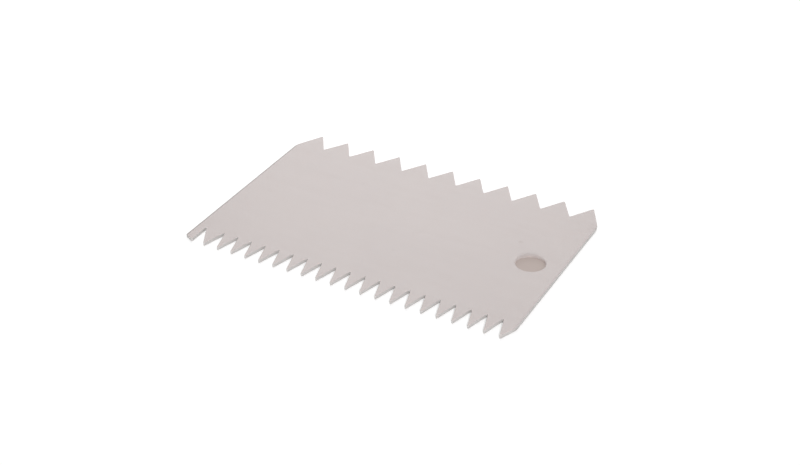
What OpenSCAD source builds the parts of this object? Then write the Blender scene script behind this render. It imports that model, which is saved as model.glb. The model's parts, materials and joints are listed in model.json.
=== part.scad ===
// Two-edged icing comb: a flat plastic plate with coarse teeth along one long
// edge, fine teeth along the other and a hanging hole at one end.
//
// Origin: middle of the underside. +X runs along the plate towards the hole,
// +Y towards the coarse comb, +Z up through the plate. Millimetres.

/* [Plate] */
// Length of the plate between its two short edges
plate_l = 110; // [80:1:150]
// Width of the plate between the roots of the two combs
web_w = 60; // [40:1:90]
// Thickness of the plate
plate_t = 1.2; // [0.8:0.1:2.5]
// Radius where the short edges run into the combs
corner_r = 6; // [1:0.5:9]

/* [Coarse comb] */
// Distance from tooth to tooth, evened out so that whole teeth fill the length
coarse_pitch = 10; // [7:0.5:14]
// Depth of the teeth from tip to root
coarse_depth = 7.5; // [5:0.5:10]
// How far the outer flank of each end tooth runs on past the roots
coarse_shoulder = 1.5; // [0:0.5:4]

/* [Fine comb] */
// Distance from tooth to tooth, evened out so that whole teeth fill the length
fine_pitch = 5; // [4:0.25:7]
// Depth of the teeth from tip to root
fine_depth = 7.5; // [6.5:0.5:10]
// How far the outer flank of the end tooth stops short of the roots
fine_shoulder = 2; // [0:0.5:3]
// Width of the blunt first tooth, which carries the short edge on
blunt_w = 3; // [2:0.1:3.5]
// How far the blunt tooth stops short of the tips
blunt_short = 0.1; // [0:0.1:1]
// Slant of the blunt tooth's end, in degrees
blunt_slant = 26; // [0:1:32]

/* [Both combs] */
// Radius on the tip of each tooth
tip_r = 0.3; // [0.15:0.05:0.4]
// Radius at the bottom of each gap
root_r = 0.25; // [0.1:0.05:0.4]

/* [Hanging hole] */
// Diameter of the hole
hole_d = 9; // [4:0.5:12]
// Distance from the middle of the hole to the short edge beside it
hole_inset = 10; // [8:0.5:20]
// Radius that rolls the hole's upper rim over
rim_r = 0.6; // [0.1:0.05:0.7]

/* [Hidden] */
// Facets on the hole, and straight steps on each corner and on the rolled rim
hole_fn = 96;
corner_steps = 4;
rim_steps = 5;
// Overlap that lets a cut run clear of the face it starts from
cut_over = 1;

function heading(a) = [cos(a), sin(a)];
function tooth_count(pitch) = round(plate_l / pitch);

// Angle that a tooth's flank faces, from straight along the comb. The flank is
// the line that touches the round tip and the round bottom beside it, whose
// centre lies that far across and that far down from the tip's centre. A bottom
// radius of 0 is a sharp corner.
function flank_angle(across, down, bottom_r) =
    acos((tip_r + bottom_r) / norm([across, down])) - atan2(down, across);

// The outline is a loop of straight edges, anticlockwise. Each edge is [the
// angle it faces, its distance from the origin, the radius of the corner after
// it]; a negative radius is a hollow corner, such as a root.

// Centre of the round tip of tooth k, on a comb that points to +Y. The teeth
// are counted from its +X end.
function tip_centre(pitch, depth, k) =
    [plate_l / 2 - (k + 0.5) * plate_l / tooth_count(pitch), web_w / 2 + depth - tip_r];

// Edges of that comb, two flanks a tooth. The first and the last flank run on
// past the roots by the shoulder, to meet the short edges at corner_r.
function comb(pitch, depth, shoulder) =
    let (count = tooth_count(pitch),
         across = plate_l / count / 2,
         down = depth - tip_r,
         face = flank_angle(across, down - root_r, root_r),
         end_face = flank_angle(across, down + shoulder, 0))
    [for (k = [0 : count - 1], side = [1, -1])
        let (outer = k == (side > 0 ? 0 : count - 1),
             a = 90 - side * (90 - (outer ? end_face : face)),
             after = side > 0 ? tip_r : outer ? corner_r : -root_r)
        [a, tip_centre(pitch, depth, k) * heading(a) + tip_r, after]];

// The same edges turned half round the origin, to point to -Y.
function turned(edges) = [for (e = edges) [e[0] + 180, e[1], e[2]]];

// Edges of the blunt tooth, which takes the place of the fine comb's first tooth:
// its slanted end and its inner side. The last edge is the next tooth's flank,
// which leans over to meet that side at the root.
function blunt_tooth() =
    let (a = 90 - blunt_slant,
         inner_corner = [plate_l / 2 - blunt_w, web_w / 2 + fine_depth - blunt_short],
         next_tip = tip_centre(fine_pitch, fine_depth, 1),
         across = inner_corner.x - root_r - next_tip.x,
         face = flank_angle(across, fine_depth - tip_r - root_r, root_r))
    [[a, inner_corner * heading(a), tip_r],
     [180, -inner_corner.x, -root_r],
     [face, next_tip * heading(face) + tip_r, tip_r]];

function outline_edges() =
    let (fine = comb(fine_pitch, fine_depth, -fine_shoulder))
    concat(
        [[0, plate_l / 2, corner_r]],
        comb(coarse_pitch, coarse_depth, coarse_shoulder),
        [[180, plate_l / 2, tip_r]],
        turned(blunt_tooth()),
        turned([for (k = [3 : len(fine) - 1]) fine[k]])
    );

// Where two lines cross, each given by the angle it faces and its distance.
function crossing(a, d, b, e) =
    [d * sin(b) - e * sin(a), e * cos(a) - d * cos(b)] / sin(b - a);

// Turn from one edge to the next, from -180 to 180 degrees.
function turn(e, f) = (f[0] - e[0] + 540) % 360 - 180;

// The points of the rounded corner between two edges.
function corner(e, f) =
    let (r = e[2],
         centre = crossing(e[0], e[1] - r, f[0], f[1] - r))
    [for (s = [0 : corner_steps])
        centre + r * heading(e[0] + turn(e, f) * s / corner_steps)];

function outline() =
    let (edges = outline_edges(), count = len(edges))
    [for (k = [0 : count - 1]) each corner(edges[k], edges[(k + 1) % count])];

// The hole's cutter: a straight bore that flares out over the rolled upper rim.
module hanging_hole() {
    flare = [for (s = [0 : rim_steps])
        let (a = 90 * s / rim_steps)
        [hole_d / 2 + rim_r * (1 - cos(a)), plate_t - rim_r + rim_r * sin(a)]];
    translate([plate_l / 2 - hole_inset, 0, 0])
        rotate_extrude($fn = hole_fn)
            polygon(concat(
                [[0, -cut_over], [hole_d / 2, -cut_over]],
                flare,
                [[hole_d / 2 + rim_r, plate_t + cut_over], [0, plate_t + cut_over]]
            ));
}

module comb_plate() {
    color([0.82, 0.785, 0.775])
        difference() {
            linear_extrude(height = plate_t) polygon(outline());
            hanging_hole();
        }
}

comb_plate();
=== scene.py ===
import json
import math

import bmesh
import bpy
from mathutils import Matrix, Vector


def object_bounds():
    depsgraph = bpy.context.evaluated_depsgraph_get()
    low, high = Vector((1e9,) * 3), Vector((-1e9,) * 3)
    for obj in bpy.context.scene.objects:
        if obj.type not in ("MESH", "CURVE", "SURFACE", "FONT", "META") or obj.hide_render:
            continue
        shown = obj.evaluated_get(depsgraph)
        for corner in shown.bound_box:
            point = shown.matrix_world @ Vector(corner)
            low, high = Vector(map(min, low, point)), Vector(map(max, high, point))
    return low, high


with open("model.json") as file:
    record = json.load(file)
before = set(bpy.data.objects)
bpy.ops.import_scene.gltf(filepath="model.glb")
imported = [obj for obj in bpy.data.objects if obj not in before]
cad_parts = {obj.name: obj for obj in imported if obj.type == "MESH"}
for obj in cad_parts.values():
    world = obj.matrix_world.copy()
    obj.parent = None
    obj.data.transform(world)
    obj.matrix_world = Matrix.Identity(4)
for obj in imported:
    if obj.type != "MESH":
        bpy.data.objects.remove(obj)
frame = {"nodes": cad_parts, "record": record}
cad_low, cad_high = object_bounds()


# Comb plate
# One flat plate of milky off-white polypropylene, moulded in one go with both rows of teeth
# and the hanging hole. Its edges come softly rounded out of the mould. Its faces have a fine
# satin grain with faint marks from use. Its short edges and a patch beside the hole are
# darkened with painted shade, and its walls are paled with painted light.
MM = 0.001

plate = frame["nodes"]["comb_plate"]

# Its edges are rounded once the seams of its mesh are joined and its flat faces are whole.
seam_gap = 0.001 * MM
flat_angle = math.radians(0.6)
sharp_angle = math.radians(50)
edge_round = 0.2 * MM
edge_steps = 3

weld = plate.modifiers.new("join_seams", "WELD")
weld.merge_threshold = seam_gap
merge = plate.modifiers.new("whole_faces", "DECIMATE")
merge.decimate_type = "DISSOLVE"
merge.angle_limit = flat_angle
round_off = plate.modifiers.new("soft_edges", "BEVEL")
round_off.limit_method = "ANGLE"
round_off.angle_limit = sharp_angle
round_off.width = edge_round
round_off.segments = edge_steps
round_off.harden_normals = True

# Where a Mix node set to colours has its two colours and its result.
MIX_FIRST, MIX_SECOND, MIX_RESULT = 6, 7, 2


def new_material(name):
    """An empty material, its node tree and its output node."""
    material = bpy.data.materials.new(name)
    material.use_nodes = True
    material.node_tree.nodes.clear()
    return material, material.node_tree, material.node_tree.nodes.new("ShaderNodeOutputMaterial")


def add(tree, kind, inputs=None, **settings):
    """A node of that kind. An input is a value, or a socket that feeds it."""
    made = tree.nodes.new(kind)
    for name, value in settings.items():
        setattr(made, name, value)
    for name, value in (inputs or {}).items():
        if isinstance(value, bpy.types.NodeSocket):
            tree.links.new(value, made.inputs[name])
        else:
            made.inputs[name].default_value = value
    return made


def calc(tree, operation, first, second=0):
    """The result of a Math node, such as ADD or MULTIPLY."""
    return add(tree, "ShaderNodeMath", {0: first, 1: second}, operation=operation).outputs["Value"]


def spread(tree, value, span, onto=(0, 1)):
    """Carries a value over from one span to another, with soft ends."""
    made = add(tree, "ShaderNodeMapRange", {
        "Value": value,
        "From Min": span[0],
        "From Max": span[1],
        "To Min": onto[0],
        "To Max": onto[1],
    }, interpolation_type="SMOOTHSTEP")
    return made.outputs["Result"]


def distance(tree, place, point):
    """How far each place is from that point, in metres."""
    made = add(tree, "ShaderNodeVectorMath", {0: place, 1: point}, operation="DISTANCE")
    return made.outputs["Value"]


def noise(tree, place, size, detail=2.0, roughness=0.5):
    """Soft noise whose patches are about that size, in metres."""
    made = add(tree, "ShaderNodeTexNoise", {
        "Vector": place, "Scale": 1 / size, "Detail": detail, "Roughness": roughness})
    return made.outputs["Fac"]


def blend_colours(tree, share, first, second):
    """Goes from the first colour to the second as share goes from 0 to 1."""
    made = add(tree, "ShaderNodeMix", {"Factor": share, MIX_FIRST: first, MIX_SECOND: second},
               data_type="RGBA")
    return made.outputs[MIX_RESULT]


def bump(tree, height, depth, below=None):
    """Raises the surface by up to that depth, in metres, on top of an earlier bump."""
    inputs = {"Height": height, "Distance": depth, "Strength": 1}
    if below is not None:
        inputs["Normal"] = below
    return add(tree, "ShaderNodeBump", inputs).outputs["Normal"]


plastic, tree, output = new_material("milky_polypropylene")
place = add(tree, "ShaderNodeTexCoord").outputs["Object"]

# The plastic is a little paler in clouds, and in streaks along the plate.
plastic_tint = (0.610, 0.547, 0.532, 1)
plastic_pale = (0.638, 0.577, 0.564, 1)
cloud_size = 26 * MM
cloud_span = (0.35, 0.65)
streak_size = 9 * MM
streak_squeeze = (0.25, 2.5, 1)
paleness_span = (0.3, 1.7)

clouds = spread(tree, noise(tree, place, cloud_size, detail=3), cloud_span)
squeezed = add(tree, "ShaderNodeVectorMath", {0: place, 1: streak_squeeze}, operation="MULTIPLY")
streaks = noise(tree, squeezed.outputs["Vector"], streak_size, detail=4)
paleness = spread(tree, calc(tree, "ADD", clouds, streaks), paleness_span)
colour = blend_colours(tree, paleness, plastic_tint, plastic_pale)

# Specks: one small spot in each cell, kept only where the cell's random value is high.
speck_tint = (0.57, 0.505, 0.488, 1)
speck_gap = 11 * MM
speck_core_r = 0.33 * MM
speck_r = 1.1 * MM
speck_draw = (0.5, 0.75)

cells = add(tree, "ShaderNodeTexVoronoi", {"Vector": place, "Scale": 1 / speck_gap})
speck_edge = (speck_core_r / speck_gap, speck_r / speck_gap)
spot = spread(tree, cells.outputs["Distance"], speck_edge, (1, 0))
kept = spread(tree, cells.outputs["Color"], speck_draw)
colour = blend_colours(tree, calc(tree, "MULTIPLY", spot, kept), colour, speck_tint)

# Smudges: wider and fainter marks of the same colour.
smudge_size = 5 * MM
smudge_span = (0.62, 0.8)
smudge_strength = 0.35

marks = noise(tree, place, smudge_size, detail=5, roughness=0.6)
smudges = spread(tree, marks, smudge_span, (0, smudge_strength))
colour = blend_colours(tree, smudges, colour, speck_tint)

# The thin walls round the outline are painted a little greyer and paler than the faces, a painted
# light that follows how steeply they face; the hole's wall is left out.
wall_painted_light = (0.625, 0.602, 0.590, 1)
wall_to_face = (0.3, 0.9)
hole = next(mount for mount in frame["record"]["mounts"] if mount["name"] == "hanging_hole")
hole_middle = Vector(hole["pos_m"])
hole_r = hole["dims"]["r_mm"] * MM
hole_rim_w = 1 * MM
hole_surround = (hole_r + hole_rim_w, 2 * hole_r)

normal = add(tree, "ShaderNodeNewGeometry").outputs["Normal"]
facing_up = add(tree, "ShaderNodeSeparateXYZ", {"Vector": normal}).outputs["Z"]
steepness = spread(tree, calc(tree, "ABSOLUTE", facing_up), wall_to_face, (1, 0))
to_hole = distance(tree, place, hole_middle)
off_hole = spread(tree, to_hole, hole_surround)
colour = blend_colours(tree, calc(tree, "MULTIPLY", steepness, off_hole), colour, wall_painted_light)

# A faint patch of painted shade lies beside the hole, on its far rim towards the middle of the coarse
# comb. The wall in the hole is painted paler, as painted light.
painted_shade_tint = (0.345, 0.309, 0.301, 1)
hole_shade_middle = hole_middle + Vector((-3.1, 4.3, 0)) * MM
hole_shade_edge = (2 * MM, 4.5 * MM)
hole_shade_w = 2.2 * MM
hole_shade_strength = 0.27
hole_wall_painted_light = (0.66, 0.6, 0.585, 1)
hole_wall_fade = 0.1 * MM

beside_hole = spread(tree, to_hole, (hole_r, hole_r + hole_shade_w), (hole_shade_strength, 0))
in_hole_shade = spread(tree, distance(tree, place, hole_shade_middle), hole_shade_edge, (1, 0))
colour = blend_colours(tree, calc(tree, "MULTIPLY", beside_hole, in_hole_shade), colour, painted_shade_tint)
in_hole = spread(tree, to_hole, (hole_r, hole_r + hole_wall_fade), (1, 0))
colour = blend_colours(tree, in_hole, colour, hole_wall_painted_light)

# The short edges are darkened with painted shade, most of all the upper rim of the smoothing
# edge, which is the one away from the hole.
shade_full = 0.15 * MM
shade_reach = 0.75 * MM
foot_shade = 0.35
hole_edge_shade = 0.21

place_parts = add(tree, "ShaderNodeSeparateXYZ", {"Vector": place}).outputs
smoothing_edge_span = (cad_low.x + shade_full, cad_low.x + shade_reach)
hole_edge_span = (cad_high.x - shade_reach, cad_high.x - shade_full)
smoothing_edge = spread(tree, place_parts["X"], smoothing_edge_span, (1, 0))
rim = spread(tree, place_parts["Z"], (cad_low.z, cad_high.z), (foot_shade, 1))
hole_edge = spread(tree, place_parts["X"], hole_edge_span, (0, hole_edge_shade))
edge_shade = calc(tree, "ADD", calc(tree, "MULTIPLY", smoothing_edge, rim), hole_edge)
colour = blend_colours(tree, edge_shade, colour, painted_shade_tint)

# A fine satin grain lies on slow ripples, and light goes a little way into the plastic.
grain_size = 0.35 * MM
grain_depth = 0.004 * MM
ripple_size = 12 * MM
ripple_depth = 0.08 * MM
satin_roughness = (0.42, 0.5)
polypropylene_ior = 1.49
milkiness = 0.5
scatter_tint = (1, 0.95, 0.92)
scatter_depth = 1 * MM

ripples = bump(tree, noise(tree, place, ripple_size, detail=1), ripple_depth)
shader = add(tree, "ShaderNodeBsdfPrincipled", {
    "Base Color": colour,
    "Roughness": spread(tree, clouds, (0, 1), satin_roughness),
    "IOR": polypropylene_ior,
    "Subsurface Weight": milkiness,
    "Subsurface Radius": scatter_tint,
    "Subsurface Scale": scatter_depth,
    "Normal": bump(tree, noise(tree, place, grain_size), grain_depth, below=ripples),
})
tree.links.new(shader.outputs["BSDF"], output.inputs["Surface"])
plate.data.materials[0] = plastic


# Table
# A plain white table top that the comb lies on. Under the solid middle of the comb it is
# hollowed out a little and painted darker as painted shade, and it glows faintly there as
# painted light, so that the hanging hole looks into shade.
table_size = 0.64
tooth_depth = 7.5 * MM
hollow_margin = 3 * MM
hollow_half_l = cad_high.x - hollow_margin
hollow_half_w = cad_high.y - tooth_depth - hollow_margin
hollow_depth = 0.7 * MM
white = (1, 1, 1, 1)
white_paint = (0.9, 0.9, 0.9, 1)
white_lift = 0.32
shade_paint = (0.16, 0.135, 0.125, 1)
shade_glow = (0.36, 0.31, 0.29, 1)
white_slot, shade_slot = 0, 1

table_mesh = bmesh.new()


def corners(half_l, half_w, height):
    """The four corners of a rectangle round the origin, in order."""
    return [table_mesh.verts.new((x * half_l, y * half_w, height))
            for x, y in ((-1, -1), (1, -1), (1, 1), (-1, 1))]


def band(outer, inner, slot):
    """The four faces from one rectangle to the next."""
    for k in range(4):
        n = (k + 1) % 4
        table_mesh.faces.new((outer[k], outer[n], inner[n], inner[k])).material_index = slot


def in_view(tree):
    """1 where a ray comes from the camera, straight, off a glossy surface or through glass."""
    rays = add(tree, "ShaderNodeLightPath").outputs
    bent = calc(tree, "MAXIMUM", rays["Is Glossy Ray"], rays["Is Transmission Ray"])
    return calc(tree, "MAXIMUM", rays["Is Camera Ray"], bent)


def glowing_paint(name, colour, glow_colour, strength, in_view_only=False):
    """A matt paint that also glows, to every ray or only to those in the camera's view."""
    material, tree, output = new_material(name)
    paint = add(tree, "ShaderNodeBsdfDiffuse", {"Color": colour})
    if in_view_only:
        strength = calc(tree, "MULTIPLY", in_view(tree), strength)
    glow = add(tree, "ShaderNodeEmission", {"Color": glow_colour, "Strength": strength})
    both = add(tree, "ShaderNodeAddShader", {0: paint.outputs["BSDF"], 1: glow.outputs["Emission"]})
    tree.links.new(both.outputs["Shader"], output.inputs["Surface"])
    return material


table_edge = corners(table_size / 2, table_size / 2, 0)
hollow_edge = corners(hollow_half_l, hollow_half_w, 0)
hollow_floor = corners(hollow_half_l, hollow_half_w, -hollow_depth)
band(table_edge, hollow_edge, white_slot)
band(hollow_edge, hollow_floor, shade_slot)
table_mesh.faces.new(hollow_floor).material_index = shade_slot
table_data = bpy.data.meshes.new("table")
table_mesh.to_mesh(table_data)
table_mesh.free()
table_data.materials.append(
    glowing_paint("white_table", white_paint, white, white_lift, in_view_only=True))
table_data.materials.append(glowing_paint("shaded_table", shade_paint, shade_glow, 1))
table = bpy.data.objects.new("table", table_data)
bpy.context.scene.collection.objects.link(table)


# Studio light
# A big soft box stands to the right in front of the comb, and a small weak one close behind
# it on the left. An even white room fills the shadows.
room_strength = 0.42

world = bpy.data.worlds.new("white_room")
bpy.context.scene.world = world
world.use_nodes = True
tree = world.node_tree
tree.nodes.clear()
strength = add(tree, "ShaderNodeMapRange", {
    "Value": in_view(tree), "To Min": room_strength, "To Max": 1})
room = add(tree, "ShaderNodeBackground", {"Color": white, "Strength": strength.outputs["Result"]})
output = tree.nodes.new("ShaderNodeOutputWorld")
tree.links.new(room.outputs["Background"], output.inputs["Surface"])


def stand(thing, target, azimuth, height, distance):
    """Stands a lamp or camera round the target, facing it. Azimuth 0 is in front of the comb."""
    turn = math.radians(azimuth)
    rise = math.radians(height)
    away = Vector((math.sin(turn) * math.cos(rise), -math.cos(turn) * math.cos(rise), math.sin(rise)))
    thing.location = target + away * distance
    thing.rotation_mode = "QUATERNION"
    thing.rotation_quaternion = away.to_track_quat("Z", "Y")
    bpy.context.scene.collection.objects.link(thing)


def soft_box(name, size, power, azimuth, height, distance):
    """A square lamp that faces the middle of the comb, with its angles in degrees."""
    light = bpy.data.lights.new(name, "AREA")
    light.size = size
    light.energy = power
    stand(bpy.data.objects.new(name, light), Vector(), azimuth, height, distance)


soft_box("front_box", size=1.0, power=116, azimuth=38, height=35, distance=5.0)
soft_box("back_box", size=0.25, power=0.46, azimuth=208, height=42, distance=0.4)


# Camera
# It stands a little to the right in front of the comb and looks down at it, from the place
# that a fit to the outline of the comb in the photograph gives.
image_width = 800
focal_pixels = 1482.6
sensor_width = 36
camera_azimuth = 28.44
camera_height = 32.55
camera_distance = 460.5 * MM
camera_target = Vector((1.69 * MM, -2.19 * MM, 0))
near_limit = 10 * MM

camera_data = bpy.data.cameras.new("camera")
camera_data.sensor_width = sensor_width
camera_data.lens = focal_pixels / image_width * sensor_width
camera_data.clip_start = near_limit
camera = bpy.data.objects.new("camera", camera_data)
stand(camera, camera_target, camera_azimuth, camera_height, camera_distance)
bpy.context.scene.camera = camera
bpy.context.scene.view_settings.view_transform = "Standard"
